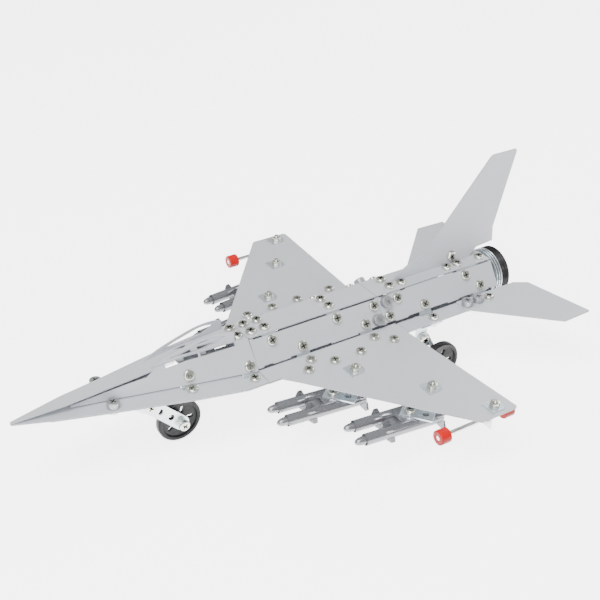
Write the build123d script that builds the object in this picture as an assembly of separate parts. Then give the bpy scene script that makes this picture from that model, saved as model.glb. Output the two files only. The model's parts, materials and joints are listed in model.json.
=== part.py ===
"""Construction-kit jet fighter: folded sheet panels, zinc brackets and small screws.

Millimetres. While the parts are made, the datum is the front edge of the fuselage deck
(y = 0), the centreline (x = 0) and the top face of the wing root (z = 0); +Y runs aft and
+X is the port side. At the end everything moves so that the wheels stand on z = 0.
"""
import os
from math import atan2, cos, degrees, hypot, radians, sin

from build123d import *

# --- stock and hardware
SHEET = 0.8
ZINC = 1.0
PITCH = 10.0
HOLE_RADIUS = 2.05
SHANK_RADIUS = 1.75
HEAD_RADIUS = 3.6
HEAD_HEIGHT = 2.4
HEAD_ROUNDING = 1.08
TALL_HEAD_HEIGHT = 4.4
TALL_HEAD_RADIUS = 4.0
TALL_HEAD_ROUNDING = 0.5
NUT_ACROSS_FLATS = 6.0
NUT_HEIGHT = 2.4
THREAD_SLACK = 0.04
BOLT_END = 0.6
POST_END = 1.0
EDGE_GAP = 0.3
PANEL_GAP = 0.8
SLIT_SLACK = 0.15
NOTCH_DEPTH = 0.75

# --- fuselage section, a hexagon with a flat deck
DECK_HALF = 10.7
DECK_Z = 17.8
ROOT_X = 22.2
SEAM_Y = 100.0
TAIL_Y = 200.8
DECK_BOLT_X = 5.0
UPPER_ROW = 5.5
DECK_CORNER_RADIUS = 3.0

# --- nose
NOSE_Y = -153.6
NOSE_TIP_TOP = 6.5
NOSE_TIP_FLOOR = 5.5
NOSE_CREASE_Y = -42.0
FLOOR_CREASE_Y = -12.0
FINGER_Y = -117.5
KEEL_FRONT_Y = -132.0
COCKPIT_FRONT_Y = -57.0
COCKPIT_REAR_Y = -10.0
COCKPIT_BRIDGE_Y = -34.5
COCKPIT_BRIDGE = 1.3
SLOT_WIDTH = 2.5
SLOT_DROP = 0.5
CANOPY_RISE = 8.8
CANOPY_LEAN = 3.0
CANOPY_FRONT_Y = -65.0
CANOPY_REAR_Y = -9.0
CANOPY_TABS_Y = (-46.0, -31.0)
CANOPY_TAB = 4.0
CANOPY_TOE = 0.8
CANOPY_STRIP = 1.9
COCKPIT_OPENINGS = (((3.8, -46.0), (4.9, -37.6), (1.4, -37.0)),
                    ((0.8, -32.0), (4.7, -33.0), (3.9, -27.5), (2.2, -20.5)))

# --- wing
WING_DROOP = 1.5
TIP_X = 136.0
WING_LE_ROOT_Y = 9.0
CHINE_X = 36.6
WING_LE_TIP_Y = 88.5
WING_TE_TIP_Y = 117.3
WING_TE_ROOT_Y = 107.6
TIP_RADIUS = 2.6
ROW_ONE_X = 30.2
ROW_TWO_X = 39.0
FLANGE_X = 44.0
SHELF_X = 35.2
SHELF_FRONT_Y = 110.0
FIXING_PLATE_HALF = 5.4
FIXING_PLATE_FRONT = 6.2

# --- tail
STABILATOR_FRONT_Y = 160.0
STABILATOR_TIP_X = 82.0
STABILATOR_TIP_Y = 208.6
STABILATOR_END_Y = 233.2
FIN_FRONT_Y = 118.5
FIN_TIP_Z = 94.0
FIN_TIP_Y = 203.5
FIN_END_Y = 225.5
FIN_BOLT_Y = 172.0
FIN_BOLT_Z = 24.3
EXHAUST_RADIUS = 18.0
EXHAUST_DISC_GAP = 1.2
EXHAUST_WHEEL = 3.6
EXHAUST_START_Y = 203.6

# --- stores under the wing
PYLON_REACH = 14.2
PYLON_WEB = 6.8
PYLON_DROP = 11.5
PYLON_END = 5.5
MISSILE_LENGTH = 62.0
MISSILE_RADIUS = 3.8
MISSILE_NOSE = 22.0
MISSILE_SPACING = 14.2
MISSILE_BOLT = 42.8
MISSILE_TOE = 6.0
MISSILE_WEB = 2.0
MISSILE_AXIS = 15.8
ROD_RADIUS = 1.5
ROD_AXIS = 6.6
ROD_FRONT_Y = 61.6
ROD_REAR_Y = 118.4
CAP_RADIUS = 4.8
CAP_LENGTH = 7.6
CAP_OVERHANG = 0.3
ROD_BRACKET_Y = 98.5

# --- landing gear
WHEEL_RADIUS = 15.2
WHEEL_WIDTH = 6.0
WHEEL_WEB = 2.0
WHEEL_RIM = 3.2
HUB_RADIUS = 4.2
WHEEL_SLOTS = 5
WHEEL_SLOT_RADIUS = 1.1
WHEEL_SLOT_CENTRE = 7.6
WHEEL_SLOT_LENGTH = 2.6
AXLE_CLEARANCE = 0.1
WHEEL_PLAY = 0.35
STRAP_WIDTH = 10.0
AXLE_Z = -33.3
NOSE_AXLE_Y = -47.1
NOSE_STRAP_X = 4.2
NOSE_STRAP_ANGLE = 45.0
CHANNEL_DEPTH = 15.0
MAIN_AXLE_Y = 137.2
MAIN_WHEEL_X = 37.3
MAIN_STRUT_X = 29.0
MAIN_STRUT_ANGLE = 62.0

# --- bolt stations along the airframe
DECK_BRACKETS_Y = (15.0, 65.0, 115.0, 175.0)
WING_BRACKETS_Y = (35.0, 85.0)
SHELF_BRACKETS_Y = (135.0, 185.0)
FIN_TABS_Y = (125.0, 165.0)
NOSE_BRACKETS = ((-45.0, 7.0, 5.2), (-5.6, 5.2, 6.4))
TWIST_SLACK = 0.15
NOSE_STUD = (13.2, -95.0)
CHANNEL_BOLTS_Y = (-72.0, -38.0)
ROW_TWO_Y = (27.5, 47.5, 68.0, 95.0)
STABILATOR_STUDS_Y = (165.0, 175.0)
JOINT_OFFSET = 5.0
BULKHEAD_BOLT_Y = 195.0
WING_POSTS = ((53.5, 53.5), (93.5, 84.0), (128.0, 105.0))

SIDE_LENGTH = hypot(ROOT_X - DECK_HALF, DECK_Z)
SIDE_RUN = (ROOT_X - DECK_HALF) / SIDE_LENGTH
SIDE_FALL = DECK_Z / SIDE_LENGTH
LOWER_ROW = UPPER_ROW + PITCH
SWEEP = degrees(atan2(WING_LE_TIP_Y - WING_LE_ROOT_Y, TIP_X - CHINE_X))
RIDE_HEIGHT = WHEEL_RADIUS - AXLE_Z
MID_Y = (NOSE_Y + STABILATOR_END_Y) / 2

parts = {}
UPWARD = (Align.CENTER, Align.CENTER, Align.MIN)
DOWNWARD = (Align.CENTER, Align.CENTER, Align.MAX)


# --- small helpers
def offset_path(points, distance):
    """Shift an open 2D path to its left by a distance, with mitred corners."""
    normals = []
    for (ax, ay), (bx, by) in zip(points, points[1:]):
        length = hypot(bx - ax, by - ay)
        normals.append((-(by - ay) / length, (bx - ax) / length))
    shifted = []
    for index, (px, py) in enumerate(points):
        before = normals[max(index - 1, 0)]
        after = normals[min(index, len(normals) - 1)]
        scale = distance / (1 + before[0] * after[0] + before[1] * after[1])
        shifted.append((px + scale * (before[0] + after[0]), py + scale * (before[1] + after[1])))
    return shifted


def strip(points, near, far):
    """The 2D outline of a bent sheet between two offsets of a path."""
    return offset_path(points, near) + offset_path(points, far)[::-1]


def extruded(points, plane, start, end):
    """Extrude a 2D outline of a plane between two distances along its normal."""
    sketch = plane * Polygon(*points, align=None)
    face = sketch.faces()[0]
    direction = plane.z_dir
    return extrude(face.moved(Pos(*(direction * start))), amount=end - start, dir=direction)


def along_y(points, start, end):
    """Extrude an outline given as (x, z) from y = start to y = end."""
    return extruded(points, Plane(origin=(0, 0, 0), x_dir=(1, 0, 0), z_dir=(0, -1, 0)), -end, -start)


def along_x(points, start, end):
    """Extrude an outline given as (y, z) from x = start to x = end."""
    return extruded(points, Plane(origin=(0, 0, 0), x_dir=(0, 1, 0), z_dir=(1, 0, 0)), start, end)


def block(x_range, y_range, z_range):
    """A box between pairs of limits."""
    size = [limits[1] - limits[0] for limits in (x_range, y_range, z_range)]
    centre = [(limits[1] + limits[0]) / 2 for limits in (x_range, y_range, z_range)]
    return Pos(*centre) * Box(*size)


def mirrored(shape):
    """The starboard twin of a port piece."""
    return mirror(shape, about=Plane.YZ)


def both(shapes):
    """Port pieces with their starboard twins."""
    shapes = list(shapes)
    return shapes + [mirrored(shape) for shape in shapes]


def cut(shape, tools):
    """Take a list of tools off a shape and keep one solid."""
    tools = list(tools)
    return (shape - tools).solids()[0] if tools else shape.solids()[0]


def save(name, solids, mirror_name=None):
    """Keep a node, and its starboard twin under a second name."""
    solids = solids if isinstance(solids, list) else [solids]
    solids = [piece for solid in solids for piece in solid.solids()]
    parts[name] = solids
    if mirror_name:
        parts[mirror_name] = [piece for solid in solids for piece in mirrored(solid).solids()]


# --- hardware
def screw(length, radius=HEAD_RADIUS, height=HEAD_HEIGHT, rounding=HEAD_ROUNDING):
    """A screw seated on z = 0 with its shank down."""
    head = fillet(Cylinder(radius, height, align=UPWARD).edges().sort_by(Axis.Z)[-1], rounding)
    shank = Pos(0, 0, -length / 2) * Cylinder(SHANK_RADIUS, length)
    return (head + shank).solids()[0]


def cap_bolt(grip):
    """A pan-head screw long enough for its grip and a nut."""
    return screw(grip + NUT_HEIGHT + BOLT_END)


def short_bolt(grip):
    """The same screw cut down for a thin nut."""
    return screw(grip + NUT_HEIGHT / 2 + BOLT_END)


def tall_bolt(grip):
    """The same screw with a tall flat head."""
    return screw(grip + NUT_HEIGHT + BOLT_END, TALL_HEAD_RADIUS, TALL_HEAD_HEIGHT, TALL_HEAD_ROUNDING)


def hex_nut():
    """A hexagon nut that hangs from z = 0, with two flats across local Y."""
    body = extrude(RegularPolygon(NUT_ACROSS_FLATS / 2, 6, major_radius=False), amount=-NUT_HEIGHT)
    bore = Cylinder(SHANK_RADIUS + THREAD_SLACK, 3 * NUT_HEIGHT)
    return (body - bore).solids()[0]


def thin_nut():
    """A half-height nut for the narrow space inside the nose gear channel."""
    hexagon = RegularPolygon(NUT_ACROSS_FLATS / 2, 6, major_radius=False)
    bore = Cylinder(SHANK_RADIUS + THREAD_SLACK, 3 * NUT_HEIGHT)
    return (extrude(hexagon, amount=-NUT_HEIGHT / 2) - bore).solids()[0]


def drill(station):
    """The clearance hole at a station."""
    return station * Cylinder(HOLE_RADIUS, 4 * PITCH / 5)


def fasten(name, stations, grip, make_bolt=cap_bolt, make_nut=hex_nut):
    """Add a screw and a nut at each station to a named group of fasteners."""
    for station in stations:
        fasteners[name]["bolts"].append(station * make_bolt(grip))
        fasteners[name]["nuts"].append(station * Pos(0, 0, -grip) * make_nut())


def bracket(corner, edge, first, second, first_inner, second_inner, depths, legs, width=PITCH):
    """A bent zinc angle inside the corner of two panels.

    corner and edge give the line where the outer faces meet, first and second point along the
    two faces away from it, and the inner vectors point into the body. depths are how far the
    angle lies below each outer face, legs how far it reaches along them.
    """
    plane = Plane(origin=corner - edge * (width / 2), x_dir=first, z_dir=edge)

    def flat(vector):
        return (vector.dot(plane.x_dir), vector.dot(plane.y_dir))

    a_dir, b_dir = flat(first), flat(second)
    a_in, b_in = flat(first_inner), flat(second_inner)

    def crossing(depth_a, depth_b):
        det = a_dir[0] * -b_dir[1] + b_dir[0] * a_dir[1]
        dx = b_in[0] * depth_b - a_in[0] * depth_a
        dy = b_in[1] * depth_b - a_in[1] * depth_a
        run = (dx * -b_dir[1] + b_dir[0] * dy) / det
        return (a_in[0] * depth_a + a_dir[0] * run, a_in[1] * depth_a + a_dir[1] * run)

    def tip(direction, inner, leg, depth):
        return (direction[0] * leg + inner[0] * depth, direction[1] * leg + inner[1] * depth)

    outline = [tip(a_dir, a_in, legs[0], depths[0]), crossing(*depths),
               tip(b_dir, b_in, legs[1], depths[1]),
               tip(b_dir, b_in, legs[1], depths[1] + ZINC),
               crossing(depths[0] + ZINC, depths[1] + ZINC),
               tip(a_dir, a_in, legs[0], depths[0] + ZINC)]
    solid = extrude((plane * Polygon(*outline, align=None)).faces()[0], amount=width, dir=edge)
    return solid.solids()[0]


def strap(length, thickness=ZINC, width=STRAP_WIDTH, holes=()):
    """A flat bar with round ends, along +X from its first hole, lying on z = 0."""
    body = extrude(Pos(length / 2, 0) * SlotCenterToCenter(length, width), amount=thickness)
    return cut(body, [Pos(x, 0, 0) * Cylinder(HOLE_RADIUS, 3 * thickness) for x in holes])


# --- stations on the faces of the airframe
DECK_PLANE = Plane(origin=(0, 0, DECK_Z), x_dir=(0, 1, 0), z_dir=(0, 0, 1))
SIDE_PLANE = Plane(origin=(DECK_HALF, 0, DECK_Z), x_dir=(0, 1, 0), z_dir=(SIDE_FALL, 0, SIDE_RUN))
WING_PLANE = Plane(origin=(ROOT_X, 0, 0),
                   x_dir=(cos(radians(WING_DROOP)), 0, -sin(radians(WING_DROOP))),
                   z_dir=(sin(radians(WING_DROOP)), 0, cos(radians(WING_DROOP))))
TURN = Rot(0, 0, 90)


def deck_station(x, y):
    return DECK_PLANE.location * Pos(y, -x, 0)


def side_station(y, row):
    return SIDE_PLANE.location * Pos(y, -row, 0)


def wing_station(x, y, height=0.0):
    return WING_PLANE.location * Pos(x - ROOT_X, y, height) * TURN


def level_station(x, y, z=0.0):
    return Pos(x, y, z) * TURN


deck_pairs = [(side * DECK_BOLT_X, y) for y in (JOINT_OFFSET, *DECK_BRACKETS_Y, BULKHEAD_BOLT_Y)
              for side in (1, -1)]
deck_nose_pairs = [(side * DECK_BOLT_X, -JOINT_OFFSET) for side in (1, -1)]
fin_tab_points = [(DECK_BOLT_X, y) for y in FIN_TABS_Y]
joint_before, joint_after = SEAM_Y - JOINT_OFFSET, SEAM_Y + JOINT_OFFSET
upper_side = [*DECK_BRACKETS_Y, joint_before]
lower_side = [*WING_BRACKETS_Y, *SHELF_BRACKETS_Y, joint_after]
tall_side = [(joint_after, UPPER_ROW), (joint_before, LOWER_ROW)]
side_points = [(y, UPPER_ROW) for y in upper_side] + [(y, LOWER_ROW) for y in lower_side]

SIDE_INNER = Vector(-SIDE_FALL, 0, -SIDE_RUN)
SIDE_DOWN = Vector(SIDE_RUN, 0, -SIDE_FALL)
AFT = Vector(0, 1, 0)
MIRRORED_GROUPS = ("side", "wing", "nose", "stud")
fasteners = {name: {"bolts": [], "nuts": []} for name in (*MIRRORED_GROUPS, "deck", "stores",
                                                         "gear", "side_gear")}


# --- nose
def floor_height(y):
    """Height of the nose floor's top face."""
    if y > FLOOR_CREASE_Y:
        return 0.0
    return NOSE_TIP_FLOOR * (FLOOR_CREASE_Y - y) / (FLOOR_CREASE_Y - NOSE_Y)


def roof_height(y):
    """Height of the nose roof's top face."""
    if y > NOSE_CREASE_Y:
        return DECK_Z
    return DECK_Z - (DECK_Z - NOSE_TIP_TOP) * (NOSE_CREASE_Y - y) / (NOSE_CREASE_Y - NOSE_Y)


ROOF_HALF = ((NOSE_Y, 0.9), (-121.0, 5.3), (-80.0, 6.9), (COCKPIT_FRONT_Y, 7.4), (-33.0, 9.7),
             (0.0, DECK_HALF))
FLOOR_HALF = ((NOSE_Y, 0.9), (-132.5, 8.2), (-99.0, 17.1), (-46.0, 30.5), (-15.0, CHINE_X),
              (0.0, CHINE_X))
SIDE_FOOT = ((FINGER_Y, 2.5), (0.0, 24.2))
FINGER_TOP = ((FINGER_Y, 3.2, 6.4), (-100.6, 6.0, 9.4), (-82.5, 7.2, 11.5), (-69.9, 8.0, 12.4))


def width_at(table, y):
    """Straight-line value of a half-width table at a station."""
    for (y0, w0), (y1, w1) in zip(table, table[1:]):
        if y <= y1:
            return w0 + (w1 - w0) * (y - y0) / (y1 - y0)
    return table[-1][1]


def planform(table, end_y, inset=0.0):
    """A symmetric plate outline from a half-width table, as points (x, y)."""
    port = [(width - inset, y) for y, width in table if y < end_y]
    port.append((width_at(table, end_y) - inset, end_y))
    return port + [(-x, y) for x, y in reversed(port)]


def bent_plate(path, near, far, outline):
    """A plate bent along X that follows a (y, z) path, trimmed to an (x, y) outline."""
    reach = 2 * CHINE_X
    profile = along_x(strip(path, -near, -far), -reach, reach)
    trim = extruded(outline, Plane.XY, -4 * DECK_Z, 4 * DECK_Z)
    return (profile & trim).solids()[0]


def nose_foot(y):
    return Vector(width_at(SIDE_FOOT, y), y, floor_height(y))


def nose_eave(y):
    return Vector(width_at(ROOF_HALF, y), y, roof_height(y))


def wall_section(foot, top):
    """One section of the nose side wall, a thin quadrilateral at constant y."""
    rise = (top - foot).normalized()
    inward = Vector(-rise.Z, 0, rise.X)
    foot_lift = foot + rise * PANEL_GAP
    return Polyline(foot_lift, top, top + inward * SHEET, foot_lift + inward * SHEET, close=True)


def wall_between(sections):
    """Ruled stretches of side wall between sections."""
    pieces = []
    for first, second in zip(sections, sections[1:]):
        pieces.append(loft([make_face(wall_section(*first)), make_face(wall_section(*second))],
                           ruled=True))
    return pieces


NOSE_PATH = [(NOSE_Y, NOSE_TIP_TOP), (NOSE_CREASE_Y, DECK_Z), (-EDGE_GAP, DECK_Z)]
FLOOR_PATH = [(NOSE_Y, NOSE_TIP_FLOOR), (FLOOR_CREASE_Y, 0.0), (-EDGE_GAP, 0.0)]


def nose_bracket_frame(station):
    """Where the nose side meets the floor: corner, edge, and the two faces' directions."""
    y, up_reach, out_reach = station
    ahead, behind = nose_foot(y - 1), nose_foot(y + 1)
    wall = nose_eave(y) - nose_foot(y)
    share = up_reach / wall.length
    along = (behind + (nose_eave(y + 1) - behind) * share) - (ahead + (nose_eave(y - 1) - ahead) * share)
    side_normal = along.cross(wall).normalized()
    side_normal = side_normal if side_normal.X > 0 else side_normal * -1
    floor_normal = Vector(0, floor_height(y - 1) - floor_height(y + 1), 2).normalized()
    edge = floor_normal.cross(side_normal).normalized()
    edge = edge if edge.Y > 0 else edge * -1
    up = edge.cross(side_normal)
    up = up if up.Z > 0 else up * -1
    out = edge.cross(floor_normal)
    out = out if out.X > 0 else out * -1
    return nose_foot(y), edge, up, out, side_normal, floor_normal


def nose_side_station(station):
    """A screw seat on the nose side."""
    corner, edge, up, out, side_normal, floor_normal = nose_bracket_frame(station)
    seat = corner + up * station[1] + side_normal * (TWIST_SLACK / 2)
    return Plane(origin=seat, x_dir=edge, z_dir=side_normal).location


def nose_floor_station(station):
    """A screw seat on the chine."""
    corner, edge, up, out, side_normal, floor_normal = nose_bracket_frame(station)
    return Plane(origin=corner + out * station[2], x_dir=edge, z_dir=floor_normal).location


def nose_passage(station):
    """The opening in the nose floor that an angle bracket passes through."""
    corner = nose_foot(station[0])
    return block((corner.X - 9.0, corner.X + 2.4), (station[0] - 5.7, station[0] + 5.7), (-6.0, 6.0))


EAVE_OUT = Vector(0.78, 0, 0.62).normalized()
EAVE_DOWN = Vector(0.62, 0, -0.78).normalized()


def nose_parts():
    roof = bent_plate(NOSE_PATH, 0.0, SHEET, planform(ROOF_HALF, -EDGE_GAP))
    joined = [(nose_foot(y), nose_eave(y)) for y in (-64.0, COCKPIT_FRONT_Y, NOSE_CREASE_Y, -33.0,
                                                     -EDGE_GAP)]
    finger = [(nose_foot(y), Vector(x, y, z)) for y, x, z in FINGER_TOP]
    walls = wall_between(finger + joined)
    shell = roof
    for wall in both(walls):
        shell = shell + wall
    slots = []
    for start, end in ((COCKPIT_FRONT_Y, NOSE_CREASE_Y + 0.1),
                       (NOSE_CREASE_Y, COCKPIT_BRIDGE_Y - COCKPIT_BRIDGE / 2),
                       (COCKPIT_BRIDGE_Y + COCKPIT_BRIDGE / 2, COCKPIT_REAR_Y)):
        first, last = nose_eave(start), nose_eave(end)
        centre = (first + last) * 0.5 + EAVE_DOWN * SLOT_DROP
        frame = Plane(origin=centre, x_dir=(last - first).normalized(), z_dir=EAVE_OUT)
        slots.append(frame.location * Box((last - first).length, SLOT_WIDTH, 8 * SHEET))
    side_drills = [drill(nose_side_station(station)) for station in NOSE_BRACKETS]
    frame = canopy_frame_location()
    slits = [frame * block((-SLIT_SLACK, SHEET + SLIT_SLACK), (y - CANOPY_TAB / 2 - SLIT_SLACK,
                                                              y + CANOPY_TAB / 2 + SLIT_SLACK),
                           (DECK_Z - 4 * SHEET, DECK_Z + SHEET)) for y in CANOPY_TABS_Y]
    opening = [extruded(corners, Plane.XY, DECK_Z - 4 * SHEET, DECK_Z + SHEET)
               for corners in COCKPIT_OPENINGS]
    roof_drills = [drill(deck_station(x, y)) for x, y in deck_nose_pairs]
    save("nose_shell", cut(shell, both(slots + side_drills + slits + opening) + roof_drills))

    passages = [nose_passage(station) for station in NOSE_BRACKETS]
    chine_stations = [nose_floor_station(station) for station in NOSE_BRACKETS]
    slope = degrees(atan2(NOSE_TIP_FLOOR, FLOOR_CREASE_Y - NOSE_Y))
    stud = Pos(NOSE_STUD[0], NOSE_STUD[1], floor_height(NOSE_STUD[1])) * Rot(-slope, 0, 0) * TURN
    channel = [Pos(0, y, floor_height(y)) * Rot(-slope, 0, 0) * TURN for y in CHANNEL_BOLTS_Y]
    holes = both([drill(s) for s in chine_stations + [stud]]) + [drill(s) for s in channel]
    floor = bent_plate(FLOOR_PATH, 0.0, SHEET, planform(FLOOR_HALF, -EDGE_GAP))
    save("nose_floor_plate", cut(floor, both(passages) + holes))
    keel_table = [(KEEL_FRONT_Y, 8.0)] + [row for row in FLOOR_HALF if row[0] > KEEL_FRONT_Y]
    keel_end = FLOOR_CREASE_Y - EDGE_GAP
    keel = bent_plate(FLOOR_PATH, SHEET, 2 * SHEET, planform(keel_table, keel_end, 0.2))
    save("nose_keel_plate", cut(keel, both(passages) + holes))

    angles = []
    for station in NOSE_BRACKETS:
        corner, edge, up, out, side_normal, floor_normal = nose_bracket_frame(station)
        angle = bracket(corner, edge, up, out, side_normal * -1, floor_normal * -1,
                        (SHEET + TWIST_SLACK, 2 * SHEET), (station[1] + 4.4, station[2] + 4.4))
        angles.append(cut(angle, [drill(nose_side_station(station)),
                                  drill(nose_floor_station(station))]))
    save("nose_angle_brackets", both(angles))
    fasten("nose", [nose_side_station(station) for station in NOSE_BRACKETS],
           SHEET + ZINC + 1.5 * TWIST_SLACK)
    fasten("nose", chine_stations, 2 * SHEET + ZINC)
    fasten("stud", [stud], 2 * SHEET, tall_bolt)
    return channel


def canopy_frame_location():
    """Place of a canopy frame's inner face: toed out with the nose's edge and leaning inboard."""
    toe = CANOPY_TOE * degrees(atan2(ROOF_HALF[4][1] - ROOF_HALF[3][1], ROOF_HALF[4][0] - ROOF_HALF[3][0]))
    inner = width_at(ROOF_HALF, NOSE_CREASE_Y) - SLOT_WIDTH / 2 - 2 * SHEET
    lean = Pos(0, 0, DECK_Z) * Rot(0, -CANOPY_LEAN, 0) * Pos(0, 0, -DECK_Z)
    return Pos(inner, NOSE_CREASE_Y, 0) * Rot(0, 0, -toe) * Pos(0, -NOSE_CREASE_Y, 0) * lean


def canopy_parts():
    """The pair of crescent frames that lean in over the cockpit openings."""
    deck = DECK_Z + 0.05
    crest_y = (CANOPY_FRONT_Y + 2 * CANOPY_REAR_Y) / 3
    crest = deck + CANOPY_RISE
    outer = Spline((CANOPY_FRONT_Y, roof_height(CANOPY_FRONT_Y) + 0.4),
                   (-53.5, deck + CANOPY_RISE * 0.36), (-44.0, deck + CANOPY_RISE * 0.64),
                   (-33.0, deck + CANOPY_RISE * 0.92), (crest_y, crest),
                   (CANOPY_REAR_Y, deck + CANOPY_RISE * 0.8))
    base = Polyline(outer @ 1, (CANOPY_REAR_Y, deck), (NOSE_CREASE_Y, deck),
                    (CANOPY_FRONT_Y, roof_height(CANOPY_FRONT_Y) + 0.05), outer @ 0)
    blade = make_face(Curve() + [outer, base])
    front, rear = (-53.5, deck + 1.0), (-15.5, deck + CANOPY_RISE * 0.66)
    upper = Spline(front, (-44.0, deck + CANOPY_RISE * 0.64 - CANOPY_STRIP),
                   (-33.0, deck + CANOPY_RISE * 0.92 - CANOPY_STRIP),
                   (crest_y - 2, crest - CANOPY_STRIP), rear)
    lower = Spline(rear, (-26.0, deck + 2.0), (-42.0, deck + 0.9), front)
    light = make_face(Curve() + [upper, lower])
    face = (blade - light).faces()[0]
    plane = Plane(origin=(0, 0, 0), x_dir=(0, 1, 0), z_dir=(1, 0, 0))
    sheet = extrude((plane * face).faces()[0], amount=SHEET, dir=(1, 0, 0))
    for y in CANOPY_TABS_Y:
        tab = block((0, SHEET), (y - CANOPY_TAB / 2, y + CANOPY_TAB / 2),
                    (roof_height(y) - 3 * SHEET, roof_height(y) + 0.5))
        sheet = sheet + tab
    save("canopy_frame_port", canopy_frame_location() * sheet, "canopy_frame_starboard")


# --- fuselage
def deck_parts():
    half = DECK_HALF - EDGE_GAP
    spans = {"deck_front": (0.0, SEAM_Y - EDGE_GAP / 2), "deck_rear": (SEAM_Y + EDGE_GAP / 2, TAIL_Y)}
    slots = [block((-SHEET / 2 - 0.15, SHEET / 2 + 0.15), (y - PITCH / 2, y + PITCH / 2),
                   (DECK_Z - 3, DECK_Z + 3)) for y in FIN_TABS_Y]
    for name, (start, end) in spans.items():
        outline = Polygon((-half, start), (half, start), (half, end), (-half, end), align=None)
        if start == 0:
            outline = fillet(outline.vertices().sort_by(Axis.Y)[:2], DECK_CORNER_RADIUS)
        plate = Pos(0, 0, DECK_Z) * extrude(outline, amount=-SHEET)
        points = [p for p in deck_pairs + fin_tab_points if start < p[1] < end]
        tools = [drill(deck_station(*p)) for p in points]
        save(name, cut(plate, tools + (slots if start else [])))
    joining = block((-DECK_HALF + 1.4, DECK_HALF - 1.4), (-PITCH + EDGE_GAP, PITCH - EDGE_GAP),
                    (DECK_Z - SHEET - ZINC, DECK_Z - SHEET))
    ends = [p for p in deck_pairs if p[1] == JOINT_OFFSET] + deck_nose_pairs
    save("deck_joining_plate", cut(joining, [drill(deck_station(*p)) for p in ends]))
    angles = []
    for y in DECK_BRACKETS_Y:
        angle = bracket(Vector(DECK_HALF, y, DECK_Z), AFT, Vector(-1, 0, 0), SIDE_DOWN,
                        Vector(0, 0, -1), SIDE_INNER, (SHEET, SHEET), (9.4, PITCH))
        angles.append(cut(angle, [drill(deck_station(DECK_BOLT_X, y)),
                                  drill(side_station(y, UPPER_ROW))]))
    save("deck_angle_brackets", both(angles))
    clamp = (-DECK_BOLT_X, DECK_BRACKETS_Y[3])
    plain = [p for p in deck_pairs + deck_nose_pairs if p != clamp]
    fasten("deck", [deck_station(*p) for p in plain], SHEET + ZINC)
    fasten("deck", [deck_station(*clamp) * Pos(0, 0, ZINC)], SHEET + 2 * ZINC)
    fasten("deck", [deck_station(*p) for p in fin_tab_points], 2 * SHEET)


def side_parts():
    upper_notches = ((2.0, 98.5), (101.5, 124.0), (166.0, 199.0))
    lower_notches = ((5.0, 12.0), (25.0, 57.0), (78.0, 98.5), (101.5, 110.0), (120.0, 155.0),
                     (165.0, 178.0), (192.0, 194.5))
    spans = (("side_panel_front", EDGE_GAP, SEAM_Y - EDGE_GAP / 2),
             ("side_panel_rear", SEAM_Y + EDGE_GAP / 2, TAIL_Y))
    top, bottom = -PANEL_GAP, -SIDE_LENGTH + PANEL_GAP
    for name, start, end in spans:
        outline = Polygon((start, bottom), (end, bottom), (end, top), (start, top), align=None)
        for edge, notches in ((top, upper_notches), (bottom, lower_notches)):
            for low, high in notches:
                if start < low < end:
                    outline -= Pos((low + high) / 2, edge) * Rectangle(high - low, 2 * NOTCH_DEPTH)
        plate = SIDE_PLANE.location * extrude(outline, amount=-SHEET)
        points = [p for p in side_points + tall_side if start < p[0] < end]
        tools = [drill(side_station(*p)) for p in points]
        save(f"{name}_port", cut(plate, tools), f"{name}_starboard")
    joiner = extrude(Pos(SEAM_Y, -(UPPER_ROW + LOWER_ROW) / 2) * Rectangle(19.0, 18.0), amount=-ZINC)
    joiner = SIDE_PLANE.location * Pos(0, 0, -SHEET) * joiner
    points = [(y, row) for y in (joint_before, joint_after) for row in (UPPER_ROW, LOWER_ROW)]
    save("side_joining_plates", both([cut(joiner, [drill(side_station(*p)) for p in points])]))
    fasten("side", [side_station(*p) for p in side_points], SHEET + ZINC)
    fasten("stud", [side_station(*p) for p in tall_side], SHEET + ZINC, tall_bolt)


def root_bracket(y, droop, hole_station):
    """The angle that ties a side panel to the wing, shelf or stabilator."""
    out = Vector(cos(radians(droop)), 0, -sin(radians(droop)))
    down = Vector(-sin(radians(droop)), 0, -cos(radians(droop)))
    reach = ROW_ONE_X - ROOT_X + 4.4
    angle = bracket(Vector(ROOT_X, y, 0), AFT, SIDE_DOWN * -1, out, SIDE_INNER, down,
                    (SHEET, 2 * SHEET), (PITCH, reach))
    return cut(angle, [drill(hole_station), drill(side_station(y, LOWER_ROW))])


def root_parts():
    angles = [root_bracket(y, WING_DROOP, wing_station(ROW_ONE_X, y)) for y in WING_BRACKETS_Y]
    angles += [root_bracket(y, 0.0, level_station(ROW_ONE_X, y)) for y in SHELF_BRACKETS_Y]
    save("wing_angle_brackets", both(angles))


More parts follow.
